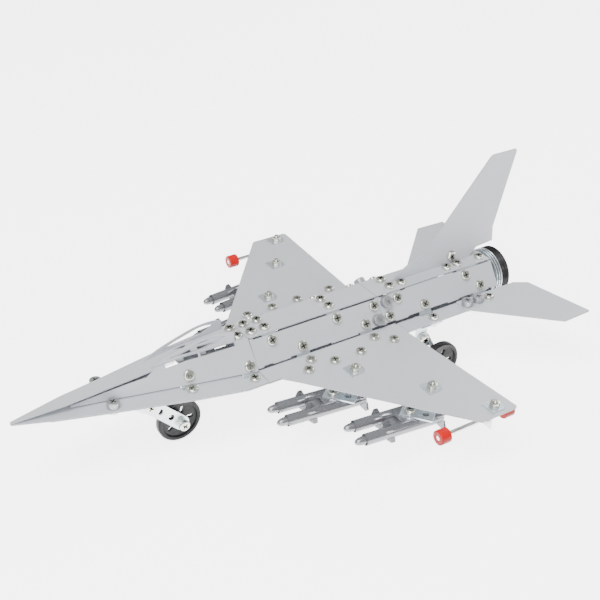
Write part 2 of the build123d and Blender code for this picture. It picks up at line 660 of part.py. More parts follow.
def belly_parts():
    """Two folded trays that close the fuselage below and carry the wings on their flanges."""
    passages = [block((ROOT_X - 4.4, ROOT_X + 2.2), (y - 5.6, y + 5.6), (-6.0, 1.0))
                for y in (*WING_BRACKETS_Y, *SHELF_BRACKETS_Y)]
    nose_station = NOSE_BRACKETS[1]
    passages.append(nose_passage(nose_station))

    def tray(flange_x, droop, start, end):
        reach = flange_x - ROOT_X
        port = [(ROOT_X + reach * cos(radians(droop)), -reach * sin(radians(droop))),
                (ROOT_X, 0.0), (DECK_HALF, -DECK_Z)]
        path = port + [(-x, z) for x, z in reversed(port)]
        return along_y(strip(path, SHEET, 2 * SHEET), start, end)

    front = tray(FLANGE_X, WING_DROOP, 0.0, SEAM_Y - EDGE_GAP / 2)
    front = front + tray(FLANGE_X, 0.0, FLOOR_CREASE_Y, 0.0)
    trim = extruded(chine_and_wing_outline(0.4), Plane.XY, -2 * DECK_Z, 2 * DECK_Z)
    front = (front & trim).solids()[0]
    stations = [wing_station(ROW_ONE_X, y) for y in WING_BRACKETS_Y]
    stations += [wing_station(ROW_TWO_X, y) for y in ROW_TWO_Y]
    stations.append(nose_floor_station(nose_station))
    save("belly_tray_front", cut(front, both(passages) + both([drill(s) for s in stations])))

    rear = tray(SHELF_X, 0.0, SEAM_Y + EDGE_GAP / 2, TAIL_Y - EDGE_GAP)
    clear = block((ROOT_X + 0.2, SHELF_X + 5), (SEAM_Y - 1, SHELF_FRONT_Y), (-2.5, 2.0))
    stations = [level_station(ROW_ONE_X, y) for y in (*SHELF_BRACKETS_Y, *STABILATOR_STUDS_Y)]
    save("belly_tray_rear", cut(rear, both(passages + [clear]) + both([drill(s) for s in stations])))


def chine_and_wing_outline(inset):
    """Plan outline that keeps the front flange hidden under the chine and the wing."""
    nose_row = FLOOR_CREASE_Y
    lead_y = WING_LE_ROOT_Y + inset
    corner_y = lead_y + (FLANGE_X + 1 - CHINE_X) * (WING_LE_TIP_Y - WING_LE_ROOT_Y) / (TIP_X - CHINE_X)
    port = [(CHINE_X - inset, nose_row), (CHINE_X - inset, lead_y), (FLANGE_X + 1, corner_y + 1),
            (FLANGE_X + 1, SEAM_Y)]
    return port + [(-x, y) for x, y in reversed(port)]


# --- wings and tail
def wing_parts():
    def flat(x):
        return x - ROOT_X

    root = flat(ROOT_X + EDGE_GAP)
    outline = Polygon((root, EDGE_GAP), (flat(CHINE_X), EDGE_GAP), (flat(CHINE_X), WING_LE_ROOT_Y),
                      (flat(TIP_X), WING_LE_TIP_Y), (flat(TIP_X), WING_TE_TIP_Y),
                      (root, WING_TE_ROOT_Y), align=None)
    tips = outline.vertices().sort_by(Axis.X)[-2:]
    outline = fillet(tips, TIP_RADIUS)
    stations = [wing_station(ROW_ONE_X, y) for y in WING_BRACKETS_Y]
    stations += [wing_station(ROW_TWO_X, y) for y in ROW_TWO_Y]
    stations += [wing_station(*post) for post in WING_POSTS]
    sheet = WING_PLANE.location * extrude(outline, amount=-SHEET)
    save("wing_port", cut(sheet, [drill(s) for s in stations]), "wing_starboard")
    fasten("wing", [wing_station(ROW_ONE_X, y) for y in WING_BRACKETS_Y],
           2 * SHEET + ZINC)
    fasten("wing", [wing_station(ROW_TWO_X, y) for y in ROW_TWO_Y], 2 * SHEET)
    plate = Pos(0, -FIXING_PLATE_FRONT / 2 + FIXING_PLATE_HALF / 2) * Rectangle(
        2 * FIXING_PLATE_HALF, FIXING_PLATE_FRONT + FIXING_PLATE_HALF)
    plate = extrude(fillet(plate.vertices().sort_by(Axis.Y)[-2:], 4.0), amount=SHEET)
    plates = []
    for x, y in WING_POSTS:
        place = WING_PLANE.location * Pos(x - ROOT_X, y, 0)
        plates.append(cut(place * plate, [drill(wing_station(x, y))]))
    save("wing_fixing_plates", both(plates))
    grip = 2 * SHEET + ZINC
    for x, y in WING_POSTS:
        seat = wing_station(x, y, -SHEET - ZINC) * Rot(180, 0, 0)
        fasteners["wing"]["bolts"].append(seat * cap_bolt(grip + POST_END))
        fasteners["wing"]["nuts"].append(seat * Pos(0, 0, -grip) * hex_nut())


def tail_parts():
    inner = ROOT_X + 2 * EDGE_GAP
    root_end = STABILATOR_END_Y - 9.3
    front = STABILATOR_FRONT_Y
    outline = Polygon((inner, front + 1.2), (33.0, front), (36.4, front + 2.8),
                      (STABILATOR_TIP_X, STABILATOR_TIP_Y), (STABILATOR_TIP_X - 0.9, STABILATOR_END_Y),
                      (28.6, root_end), (inner, root_end - 9.3), align=None)
    outline = fillet(outline.vertices().sort_by(Axis.X)[-2:], 1.2)
    sheet = extrude(outline, amount=-SHEET)
    studs = [level_station(ROW_ONE_X, y) for y in STABILATOR_STUDS_Y]
    bolt_y = SHELF_BRACKETS_Y[1]
    stations = studs + [level_station(ROW_ONE_X, bolt_y)]
    save("stabilator_port", cut(sheet, [drill(s) for s in stations]), "stabilator_starboard")
    fasten("wing", [level_station(ROW_ONE_X, bolt_y)], 2 * SHEET + ZINC)
    fasten("stud", studs, 2 * SHEET, tall_bolt)

    seat = DECK_Z + 0.05
    profile = [(FIN_FRONT_Y, seat), (131.8, 26.0), (151.5, 34.0), (156.0, 41.0),
               (FIN_TIP_Y - 1.8, FIN_TIP_Z - 1.2), (FIN_TIP_Y + 0.4, FIN_TIP_Z),
               (FIN_END_Y - 1, FIN_TIP_Z), (FIN_END_Y, FIN_TIP_Z - 1.8), (210.2, 37.0),
               (211.0, 25.4), (196.0, 24.2), (189.5, seat)]
    fin = along_x(profile, -SHEET / 2, SHEET / 2)
    under = DECK_Z - SHEET
    for y in FIN_TABS_Y:
        low, high = y - PITCH / 2 + 0.25, y + PITCH / 2 - 0.25
        fin = fin + block((-SHEET / 2, SHEET / 2), (low, high), (under - SHEET, seat + 1))
        fin = fin + block((-SHEET / 2, DECK_HALF - 2.2), (low, high), (under - SHEET, under))
    fin_station = Plane(origin=(SHEET / 2, FIN_BOLT_Y, FIN_BOLT_Z), x_dir=(0, 1, 0),
                        z_dir=(1, 0, 0)).location
    tools = [drill(fin_station)]
    tools += [drill(deck_station(*p)) for p in fin_tab_points]
    save("tail_fin", cut(fin, tools))
    angle = bracket(Vector(SHEET / 2 - SHEET, FIN_BOLT_Y, DECK_Z), AFT, Vector(-1, 0, 0),
                    Vector(0, 0, 1), Vector(0, 0, 1), Vector(-1, 0, 0), (0.0, 0.0), (9.6, 9.6))
    angle_station = deck_station(-DECK_BOLT_X, DECK_BRACKETS_Y[3])
    save("fin_bracket", cut(angle, [drill(fin_station), drill(angle_station)]))
    fasten("deck", [fin_station], SHEET + ZINC)


def exhaust_parts():
    """A stack of thin zinc discs and two grooved black wheels on one long screw."""
    inner = [(DECK_HALF - 1.6, DECK_Z - SHEET - ZINC), (ROOT_X - 2.6, 0.0), (DECK_HALF - 1.6, -DECK_Z)]
    outline = inner + [(-x, z) for x, z in reversed(inner)]
    wall_y = TAIL_Y - EDGE_GAP
    wall = along_y(outline, wall_y - ZINC, wall_y)
    lip = block((-DECK_HALF + 1.6, DECK_HALF - 1.6), (BULKHEAD_BOLT_Y - 5, wall_y),
                (DECK_Z - SHEET - ZINC, DECK_Z - SHEET))
    axis = Plane(origin=(0, wall_y, 0), x_dir=(1, 0, 0), z_dir=(0, 1, 0)).location
    drills = [drill(deck_station(side * DECK_BOLT_X, BULKHEAD_BOLT_Y)) for side in (1, -1)]
    save("tail_bulkhead", cut(wall + lip, drills + [axis * Cylinder(HOLE_RADIUS, 8)]))

    bore = Cylinder(HOLE_RADIUS, 80)
    first = EXHAUST_START_Y - wall_y
    discs = []
    for index in range(3):
        place = axis * Pos(0, 0, first + index * (SHEET + EXHAUST_DISC_GAP))
        discs.append(cut(place * Cylinder(EXHAUST_RADIUS, SHEET, align=UPWARD), [axis * bore]))
        if index:
            washer = Cylinder(4.0, EXHAUST_DISC_GAP, align=DOWNWARD)
            discs.append(cut(place * washer, [axis * bore]))
    spacer = Cylinder(4.0, first, align=UPWARD)
    discs.append(cut(axis * spacer, [axis * bore]))
    save("exhaust_discs", discs)

    start = first + 3 * SHEET + 2 * EXHAUST_DISC_GAP
    half = EXHAUST_WHEEL / 2
    rim = Polyline((HOLE_RADIUS, 0), (EXHAUST_RADIUS - 0.6, 0), (EXHAUST_RADIUS, 0.6),
                   (EXHAUST_RADIUS - 1.5, half), (EXHAUST_RADIUS, EXHAUST_WHEEL - 0.6),
                   (EXHAUST_RADIUS - 0.6, EXHAUST_WHEEL), (EXHAUST_RADIUS - 3.2, EXHAUST_WHEEL),
                   (EXHAUST_RADIUS - 3.6, half), (5.0, half), (4.6, EXHAUST_WHEEL),
                   (HOLE_RADIUS, EXHAUST_WHEEL), close=True)
    wheel = revolve((Plane.XZ * make_face(rim)).faces()[0], Axis.Z)
    for index, name in enumerate(("exhaust_wheel_inner", "exhaust_wheel_outer")):
        save(name, (axis * Pos(0, 0, start + index * EXHAUST_WHEEL) * wheel).solids()[0])
    end = start + 2 * EXHAUST_WHEEL
    length = end + ZINC + NUT_HEIGHT + BOLT_END
    nut = axis * Pos(0, 0, -ZINC) * hex_nut()
    save("exhaust_screw", [axis * Pos(0, 0, end) * screw(length), nut])


# --- stores
def missile_pair():
    """Two finned missiles moulded in one piece, noses towards -Y, bolt hole at the origin."""
    nose_y = -MISSILE_BOLT
    tail_y = nose_y + MISSILE_LENGTH
    radius = MISSILE_RADIUS
    top = MISSILE_AXIS - PYLON_DROP
    shoulder = nose_y + MISSILE_NOSE
    ogive = Spline((0.0, nose_y), (radius * 0.40, nose_y + 0.8), (radius * 0.72, nose_y + 5.0),
                   (radius * 0.93, nose_y + 12.0), (radius, shoulder), tangents=((1, 0), (0, 1)))
    rest = Polyline((radius, shoulder), (radius, tail_y - 5.0), (radius * 0.8, tail_y),
                    (0.0, tail_y), (0.0, nose_y))
    body = revolve(make_face(Curve() + [ogive, rest]), Axis.Y)
    fins = []
    for start, chord, span, turn in ((nose_y + 20.0, 7.0, 2.9, 45), (tail_y - 5.5, 6.5, 4.4, 45)):
        blade = Polygon((radius - 0.7, start), (radius + span, start + chord * 0.5),
                        (radius + span, start + chord * 0.85), (radius - 0.7, start + chord),
                        align=None)
        blade = Pos(0, 0, -0.45) * extrude(blade, amount=0.9)
        fins += [Rot(0, turn + quarter * 90, 0) * blade for quarter in range(4)]
    for fin in fins:
        body = body + fin
    half = MISSILE_SPACING / 2
    pair = Pos(half, 0, 0) * body + Pos(-half, 0, 0) * body
    web = block((-half, half), (-9.0, 9.0), (top - MISSILE_WEB, top))
    front_link = block((-half, half), (nose_y + 25.0, -8.0), (-1.2, 1.2))
    pair = pair + web + front_link
    return cut(Pos(0, 0, -MISSILE_AXIS) * pair, [Cylinder(HOLE_RADIUS, 6 * PYLON_DROP)])


def store_parts():
    """Pylons swept like the leading edge, each with a missile pair one hole inboard."""
    reach, web = PYLON_REACH, PYLON_WEB
    low = -PYLON_DROP + ZINC
    profile = strip([(-PYLON_END, -SHEET), (web, -SHEET), (web, low), (reach + PYLON_END, low)], 0, -ZINC)
    section = Plane(origin=(0, 0, 0), x_dir=(0, -1, 0), z_dir=(-1, 0, 0))
    outline = (section * Polygon(*[(s, z) for s, z in profile], align=None)).faces()[0]
    blank = outline.moved(Pos(-PITCH - PYLON_END, 0, 0))
    blank = extrude(blank, amount=PITCH + 2 * PYLON_END, dir=(1, 0, 0))
    narrow = block((-PITCH - 6, -PYLON_END), (-web + ZINC / 2, PYLON_END + 1), (low + 2.5, 2))
    holes = [Cylinder(HOLE_RADIUS, 6), Pos(0, -reach, low) * Cylinder(HOLE_RADIUS, 4),
             Pos(-PITCH, -reach, low) * Cylinder(HOLE_RADIUS, 4)]
    bent = cut(blank, [narrow] + holes)
    pylons = []
    for name, (x, y) in zip(("inner", "outer"), WING_POSTS[:2]):
        frame = WING_PLANE.location * Pos(x - ROOT_X, y, 0) * Rot(0, 0, SWEEP)
        pylons.append(frame * bent)
        bolt = frame * Pos(-PITCH, -reach, 0) * Rot(0, 0, -SWEEP - MISSILE_TOE)
        save(f"missile_pair_{name}_port", bolt * missile_pair(), f"missile_pair_{name}_starboard")
        fasten("stores", [bolt * Pos(0, 0, low) * Rot(0, 0, 30)], ZINC + MISSILE_WEB)
    save("pylon_brackets", both(pylons))


def rod_parts():
    x, y = WING_POSTS[2]
    frame = WING_PLANE.location * Pos(x - ROOT_X, 0, 0)
    length = ROD_REAR_Y - ROD_FRONT_Y
    axis = Plane(origin=(0, ROD_FRONT_Y, -ROD_AXIS), x_dir=(1, 0, 0), z_dir=(0, 1, 0)).location
    rod = axis * Cylinder(ROD_RADIUS, length, align=UPWARD)
    save("tip_rods", both([frame * rod]))
    caps = []
    for start in (-CAP_OVERHANG, length - CAP_LENGTH + CAP_OVERHANG):
        cap = axis * Pos(0, 0, start) * Cylinder(CAP_RADIUS, CAP_LENGTH, align=UPWARD)
        cap = fillet(cap.edges().filter_by(GeomType.CIRCLE), 0.7)
        caps.append(frame * cut(cap, [axis * Pos(0, 0, length / 2) * Cylinder(ROD_RADIUS, length + 40)]))
    save("tip_caps", both(caps))
    wall = ROD_BRACKET_Y
    leg = block((-STRAP_WIDTH / 2, STRAP_WIDTH / 2), (wall, y + 5), (-SHEET - ZINC, -SHEET))
    drop = block((-STRAP_WIDTH / 2, STRAP_WIDTH / 2), (wall, wall + ZINC),
                 (-ROD_AXIS - 5, -SHEET))
    ring = Cylinder(ROD_RADIUS + 0.15, 4 * ROD_REAR_Y)
    holes = [Pos(0, y, 0) * Cylinder(HOLE_RADIUS, 6), axis * ring]
    save("tip_rod_brackets", both([frame * cut(leg + drop, holes)]))
    nuts = []
    for start in (wall - ROD_FRONT_Y, wall + ZINC - ROD_FRONT_Y + 2.0):
        body = extrude(RegularPolygon(NUT_ACROSS_FLATS / 2 - 0.4, 6, major_radius=False), amount=-2.0)
        body = axis * Pos(0, 0, start) * Rot(0, 0, 30) * body
        nuts.append(frame * cut(body, [axis * Cylinder(ROD_RADIUS + THREAD_SLACK, 300)]))
    fasteners["stores"]["nuts"].extend(nuts)


# --- landing gear
def wheel(centre):
    """A black disc wheel with a raised rim, a hub and slots, turning about X."""
    half, web = WHEEL_WIDTH / 2, WHEEL_WEB / 2
    inner = WHEEL_RADIUS - WHEEL_RIM
    bore = SHANK_RADIUS + AXLE_CLEARANCE
    outline = Polyline((bore, -half), (HUB_RADIUS, -half), (HUB_RADIUS, -web), (inner, -web),
                       (inner + 0.5, -half + 0.6), (WHEEL_RADIUS - 0.8, -half + 0.3),
                       (WHEEL_RADIUS, -half + 1.2), (WHEEL_RADIUS, half - 1.2),
                       (WHEEL_RADIUS - 0.8, half - 0.3), (inner + 0.5, half - 0.6), (inner, web),
                       (HUB_RADIUS, web), (HUB_RADIUS, half), (bore, half), close=True)
    disc = revolve((Plane.XZ * make_face(outline)).faces()[0], Axis.Z)
    slot = extrude(SlotOverall(WHEEL_SLOT_LENGTH + 2 * WHEEL_SLOT_RADIUS, 2 * WHEEL_SLOT_RADIUS),
                   amount=WHEEL_WIDTH, both=True)
    turns = [Rot(0, 0, 90 + index * 360 / WHEEL_SLOTS) for index in range(WHEEL_SLOTS)]
    disc = cut(disc, [turn * Pos(WHEEL_SLOT_CENTRE, 0, 0) * slot for turn in turns])
    return Pos(*centre) * Rot(0, 90, 0) * disc


def axle_screw(seat_x, y, end_x, nuts):
    """A wheel's axle: a screw along -X with its nuts at the given near faces."""
    axis = Plane(origin=(seat_x, y, AXLE_Z), x_dir=(0, 1, 0), z_dir=(1, 0, 0)).location
    pieces = [axis * screw(seat_x - end_x)]
    pieces += [axis * Pos(0, 0, face_x - seat_x) * hex_nut() for face_x in nuts]
    return pieces


def strap_on_side(x, y, z, angle, length, holes):
    """A strap in a plane of constant x from a low hole, rising forward at an angle."""
    frame = Plane(origin=(x, y, z), x_dir=(0, -cos(radians(angle)), sin(radians(angle))),
                  z_dir=(1, 0, 0)).location
    return frame * strap(length, holes=holes)


def nose_gear_parts(channel_stations):
    half = WHEEL_WIDTH / 2
    save("nose_wheel", wheel((0, NOSE_AXLE_Y, AXLE_Z)))
    reach = 4 * PITCH
    holes = [index * PITCH for index in range(5)]
    save("nose_gear_strap", strap_on_side(NOSE_STRAP_X, NOSE_AXLE_Y, AXLE_Z, NOSE_STRAP_ANGLE,
                                          reach, holes))
    seat = NOSE_STRAP_X + ZINC + NUT_HEIGHT
    far = -half - WHEEL_PLAY
    save("nose_axle", axle_screw(seat, NOSE_AXLE_Y, far - 2 * NUT_HEIGHT - 1, [seat, far,
                                                                            far - NUT_HEIGHT - 0.2]))
    wall = NOSE_STRAP_X
    rise = sin(radians(NOSE_STRAP_ANGLE))
    run = cos(radians(NOSE_STRAP_ANGLE))
    bolts = [(NOSE_AXLE_Y - step * PITCH * run, AXLE_Z + step * PITCH * rise) for step in (3, 4)]
    rear_y = CHANNEL_BOLTS_Y[1] + 5.5
    front_y = bolts[1][0] - 5.5
    slope = atan2(floor_height(front_y) - floor_height(rear_y), rear_y - front_y)

    def under(y):
        return floor_height(y) - 2 * SHEET / cos(slope)

    sides = [(front_y, under(front_y)), (front_y, -9.0), (bolts[0][0] - 3.5, -CHANNEL_DEPTH - 2.0),
             (bolts[0][0] + 5.0, -CHANNEL_DEPTH - 2.0), (bolts[0][0] + 10.0, -CHANNEL_DEPTH + 3.0),
             (rear_y, -CHANNEL_DEPTH + 3.5), (rear_y, under(rear_y))]
    port_wall = along_x(sides, wall - ZINC, wall)
    far_wall = along_x(sides, -wall, -wall + ZINC)
    web = along_x([(front_y, under(front_y)), (rear_y, under(rear_y)),
                   (rear_y, under(rear_y) - ZINC), (front_y, under(front_y) - ZINC)], -wall, wall)
    face = [Plane(origin=(wall, y, z), x_dir=(0, 1, 0), z_dir=(1, 0, 0)).location for y, z in bolts]
    tools = [s * Cylinder(HOLE_RADIUS, 3) for s in face] + [drill(s) for s in channel_stations]
    save("nose_gear_channel", cut(port_wall + web + far_wall, tools))
    seats = [station * Pos(0, 0, ZINC) for station in face]
    fasten("gear", seats, 2 * ZINC, short_bolt, thin_nut)
    fasten("gear", channel_stations, 2 * SHEET + ZINC)


def main_gear_parts():
    half = WHEEL_WIDTH / 2
    save("main_wheel_port", wheel((MAIN_WHEEL_X, MAIN_AXLE_Y, AXLE_Z)), "main_wheel_starboard")
    reach = 2 * PITCH
    strut = strap_on_side(MAIN_STRUT_X, MAIN_AXLE_Y, AXLE_Z, MAIN_STRUT_ANGLE, reach,
                          (0, PITCH, 2 * PITCH))
    save("main_gear_strut_port", strut, "main_gear_strut_starboard")
    seat = MAIN_WHEEL_X + half + WHEEL_PLAY
    inner_face = MAIN_WHEEL_X - half - WHEEL_PLAY
    strut_face = MAIN_STRUT_X + ZINC
    axle = axle_screw(seat, MAIN_AXLE_Y, MAIN_STRUT_X - NUT_HEIGHT - 1,
                      [inner_face, strut_face + NUT_HEIGHT, MAIN_STRUT_X])
    axle = axle[:1] + axle[2:]
    save("main_axle_port", axle, "main_axle_starboard")
    run = reach * cos(radians(MAIN_STRUT_ANGLE))
    rise = reach * sin(radians(MAIN_STRUT_ANGLE))
    bolt_y, bolt_z = MAIN_AXLE_Y - run, AXLE_Z + rise
    post_y = SHELF_BRACKETS_Y[0]
    under = -2 * SHEET - ZINC
    shelf = block((MAIN_STRUT_X - 5, ROW_ONE_X + 4.6), (bolt_y - 6, post_y + 5), (under - ZINC, under))
    drop = block((MAIN_STRUT_X - ZINC, MAIN_STRUT_X), (bolt_y - 6, bolt_y + 3.4),
                 (bolt_z - 5, under))
    face = Plane(origin=(MAIN_STRUT_X, bolt_y, bolt_z), x_dir=(0, 1, 0), z_dir=(1, 0, 0)).location
    tools = [drill(level_station(ROW_ONE_X, post_y)), face * Cylinder(HOLE_RADIUS, 3)]
    save("main_gear_brackets", both([cut(shelf + drop, tools)]))
    fasten("side_gear", [face * Pos(0, 0, ZINC)], 2 * ZINC)
    fasten("side_gear", [level_station(ROW_ONE_X, post_y, -SHEET)], SHEET + 2 * ZINC)


def fastener_parts():
    """Screws and nuts in one node per region, port and starboard together."""
    save("deck_bolts", fasteners["deck"]["bolts"])
    nuts = fasteners["deck"]["nuts"]
    for name in MIRRORED_GROUPS:
        group = fasteners[name]
        save(f"{name}_bolts", both(group["bolts"]))
        nuts += both(group["nuts"])
    save("airframe_nuts", nuts)
    stores = fasteners["stores"]
    save("store_bolts", both(stores["bolts"]))
    save("store_nuts", both(stores["nuts"]))
    gear, side_gear = fasteners["gear"], fasteners["side_gear"]
    save("gear_bolts", gear["bolts"] + both(side_gear["bolts"]))
    save("gear_nuts", gear["nuts"] + both(side_gear["nuts"]))


def main():
    channel_stations = nose_parts()
    canopy_parts()
    deck_parts()
    side_parts()
    root_parts()
    belly_parts()
    wing_parts()
    tail_parts()
    exhaust_parts()
    store_parts()
    rod_parts()
    nose_gear_parts(channel_stations)
    main_gear_parts()
    fastener_parts()
    os.makedirs("parts", exist_ok=True)
    stand = Pos(0, -MID_Y, RIDE_HEIGHT)
    for name, solids in parts.items():
        placed = [stand * solid for solid in solids]
        shape = placed[0] if len(placed) == 1 else Compound(children=placed)
        export_step(shape, f"parts/{name}.step")


main()
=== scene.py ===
"""Looks of a construction-kit jet fighter: painted sheets, zinc brackets, screws, nuts and plastics."""
import json
import random
from math import cos, pi, radians, sin

import bmesh
import bpy
from bpy.props import FloatProperty, FloatVectorProperty, PointerProperty
from mathutils import Matrix, Vector


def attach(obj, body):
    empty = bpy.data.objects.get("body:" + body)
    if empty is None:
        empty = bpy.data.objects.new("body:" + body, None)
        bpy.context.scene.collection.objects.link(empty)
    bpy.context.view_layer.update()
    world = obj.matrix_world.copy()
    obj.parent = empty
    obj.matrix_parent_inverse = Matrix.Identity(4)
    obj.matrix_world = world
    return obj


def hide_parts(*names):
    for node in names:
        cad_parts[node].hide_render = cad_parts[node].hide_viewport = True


bl_info = {
    "name": "Kit Jet Fighter",
    "version": (1, 0, 0),
    "blender": (4, 5, 0),
    "location": "View3D > Sidebar > Kit Jet",
    "description": "Finishes and small hardware of a screwed sheet-metal toy airplane",
    "category": "Add Mesh",
}

MM = 0.001
MERGE = 1e-6
SAME_NORMAL = 0.9995
SHORTEST_SCREW = 3.4 * MM

SHEETS = ("nose_shell", "nose_floor_plate", "nose_keel_plate", "canopy_frame_port",
          "canopy_frame_starboard", "deck_front", "deck_rear", "side_panel_front_port",
          "side_panel_front_starboard", "side_panel_rear_port", "side_panel_rear_starboard",
          "belly_tray_front", "belly_tray_rear", "wing_port", "wing_starboard", "stabilator_port",
          "stabilator_starboard", "tail_fin")
BRACKETS = ("nose_angle_brackets", "deck_angle_brackets", "wing_angle_brackets", "fin_bracket",
            "wing_fixing_plates", "pylon_brackets", "tip_rod_brackets", "nose_gear_channel",
            "nose_gear_strap", "main_gear_strut_port", "main_gear_strut_starboard",
            "main_gear_brackets", "deck_joining_plate", "side_joining_plates", "tail_bulkhead",
            "exhaust_discs")
SCREW_GROUPS = ("deck_bolts", "side_bolts", "wing_bolts", "nose_bolts", "store_bolts",
                "gear_bolts", "nose_axle", "main_axle_port", "main_axle_starboard",
                "exhaust_screw")
NUT_GROUPS = ("airframe_nuts", "store_nuts", "gear_nuts")
MISSILES = ("missile_pair_inner_port", "missile_pair_inner_starboard", "missile_pair_outer_port",
            "missile_pair_outer_starboard")
WHEELS = ("nose_wheel", "main_wheel_port", "main_wheel_starboard", "exhaust_wheel_inner",
          "exhaust_wheel_outer")

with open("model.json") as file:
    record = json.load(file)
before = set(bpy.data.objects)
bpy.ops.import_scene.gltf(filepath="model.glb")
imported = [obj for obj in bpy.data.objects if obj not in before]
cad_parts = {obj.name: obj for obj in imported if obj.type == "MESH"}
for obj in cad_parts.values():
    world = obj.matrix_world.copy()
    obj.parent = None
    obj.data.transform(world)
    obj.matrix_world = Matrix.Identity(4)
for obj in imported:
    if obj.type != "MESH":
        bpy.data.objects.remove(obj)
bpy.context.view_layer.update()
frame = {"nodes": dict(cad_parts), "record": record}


# --- sizes and colours a user may change
def colour(name, text, value):
    return FloatVectorProperty(name=name, description=text, default=value, size=3, min=0.0, max=1.0,
                               subtype="COLOR")


def length(name, text, value):
    return FloatProperty(name=name, description=text, default=value, min=0.0, unit="LENGTH")


class KitFinishes(bpy.types.PropertyGroup):
    sheet: colour("Sheet paint", "Light grey paint of the folded sheets", (0.545, 0.56, 0.60))
    zinc: colour("Zinc", "Bright zinc plate of the brackets", (0.70, 0.78, 0.83))
    screw: colour("Screw", "Plating of the screws", (0.70, 0.71, 0.64))
    # painted shade: the near-black recess colour stands for the shade inside the cross recess
    recess: colour("Recess", "Shadowed, greasy cross recess of a screw", (0.050, 0.048, 0.030))
    stud: colour("Stud", "Dull plating of the tall heads", (0.40, 0.41, 0.425))
    missile: colour("Missile", "Silver-grey moulding", (0.235, 0.24, 0.255))
    black: colour("Black plastic", "Wheels and exhaust rings", (0.010, 0.010, 0.011))
    red: colour("Red plastic", "Caps on the wingtip rods", (0.60, 0.004, 0.003))


class KitHardware(bpy.types.PropertyGroup):
    """Sizes of the small hardware."""
    recess_reach: length("Recess reach", "Half length of the cross recess", 2.05 * MM)
    recess_width: length("Recess width", "Width of one arm of the cross", 0.85 * MM)
    recess_depth: length("Recess depth", "Depth of the cross recess", 1.3 * MM)
    thread_pitch: length("Thread pitch", "Distance from thread to thread", 0.7 * MM)
    thread_depth: length("Thread depth", "Depth of the thread", 0.28 * MM)
    edge: length("Moulded edge", "Rounding of the moulded parts", 0.22 * MM)


def settings():
    return bpy.context.scene.kit_finishes, bpy.context.scene.kit_hardware


# --- material building blocks
def new_material(name):
    """A node material with its tree, its shader and its object coordinates."""
    material = bpy.data.materials.new(name)
    material.use_nodes = True
    tree = material.node_tree
    place = tree.nodes.new("ShaderNodeTexCoord").outputs["Object"]
    return material, tree, tree.nodes["Principled BSDF"], place


def noise(tree, place, scale, detail=3.0, stretch=(1, 1, 1), roughness=0.55):
    mapping = tree.nodes.new("ShaderNodeMapping")
    mapping.inputs["Scale"].default_value = stretch
    texture = tree.nodes.new("ShaderNodeTexNoise")
    texture.inputs["Scale"].default_value = scale
    texture.inputs["Detail"].default_value = detail
    texture.inputs["Roughness"].default_value = roughness
    tree.links.new(place, mapping.inputs["Vector"])
    tree.links.new(mapping.outputs["Vector"], texture.inputs["Vector"])
    return texture.outputs["Fac"]


def spread(tree, value, low, high, start=0.3, end=0.7):
    """Stretch a value from start..end to low..high."""
    node = tree.nodes.new("ShaderNodeMapRange")
    node.inputs["From Min"].default_value = start
    node.inputs["From Max"].default_value = end
    node.inputs["To Min"].default_value = low
    node.inputs["To Max"].default_value = high
    tree.links.new(value, node.inputs["Value"])
    return node.outputs["Result"]


def blend_colours(tree, factor, first, second):
    """A colour between two colours or sockets."""
    node = tree.nodes.new("ShaderNodeMix")
    node.data_type = "RGBA"
    tree.links.new(factor, node.inputs["Factor"])
    for value, socket in ((first, node.inputs["A"]), (second, node.inputs["B"])):
        socket = [s for s in node.inputs if s.name == socket.name and s.type == "RGBA"][0]
        if isinstance(value, bpy.types.NodeSocket):
            tree.links.new(value, socket)
        else:
            socket.default_value = (*value, 1.0)
    return [s for s in node.outputs if s.type == "RGBA"][0]


def shade(value, amount):
    """A darker or lighter copy of a colour."""
    return tuple(min(channel * amount, 1.0) for channel in value)


def edge_mask(tree, radius):
    """One on edges sharper than a small radius, nothing on the flats."""
    rounded = tree.nodes.new("ShaderNodeBevel")
    rounded.samples = 6
    rounded.inputs["Radius"].default_value = radius
    geometry = tree.nodes.new("ShaderNodeNewGeometry")
    dot = tree.nodes.new("ShaderNodeVectorMath")
    dot.operation = "DOT_PRODUCT"
    tree.links.new(rounded.outputs["Normal"], dot.inputs[0])
    tree.links.new(geometry.outputs["Normal"], dot.inputs[1])
    return rounded.outputs["Normal"], spread(tree, dot.outputs["Value"], 1.0, 0.0, 0.82, 0.99)


def bump(tree, shader, height, strength, distance, normal=None):
    node = tree.nodes.new("ShaderNodeBump")
    node.inputs["Strength"].default_value = strength
    node.inputs["Distance"].default_value = distance
    tree.links.new(height, node.inputs["Height"])
    if normal is not None:
        tree.links.new(normal, node.inputs["Normal"])
    tree.links.new(node.outputs["Normal"], shader.inputs["Normal"])


def sheet_paint(base):
    """Satin powder paint with fine orange peel, faint clouds and darker cut edges: partly the bare cut metal,
    partly painted shade of the dark lines along edges and gaps.
    """
    material, tree, shader, place = new_material("sheet_paint")
    rounded, edge = edge_mask(tree, 0.25 * MM)
    clouds = spread(tree, noise(tree, place, 22.0, 4.0), 0.0, 1.0)
    speckle = noise(tree, place, 2600.0, 2.0)
    tone = blend_colours(tree, clouds, base, shade(base, 0.945))
    tone = blend_colours(tree, spread(tree, speckle, 0.0, 0.10, 0.45, 0.75), tone, (0.9, 0.9, 0.92))
    # partly painted shade: edges and the rim of the faces darken to near-black, the bare cut metal plus the
    # shade in the gaps along them
    tone = blend_colours(tree, spread(tree, edge, 0.0, 0.55, 0.0, 1.0), tone, (0.12, 0.12, 0.13))
    tree.links.new(tone, shader.inputs["Base Color"])
    tree.links.new(spread(tree, clouds, 0.40, 0.50, 0.0, 1.0), shader.inputs["Roughness"])
    shader.inputs["Metallic"].default_value = 0.12
    shader.inputs["Coat Weight"].default_value = 0.06
    shader.inputs["Coat Roughness"].default_value = 0.35
    bump(tree, shader, noise(tree, place, 900.0, 2.0), 0.10, 0.05 * MM, rounded)
    return material


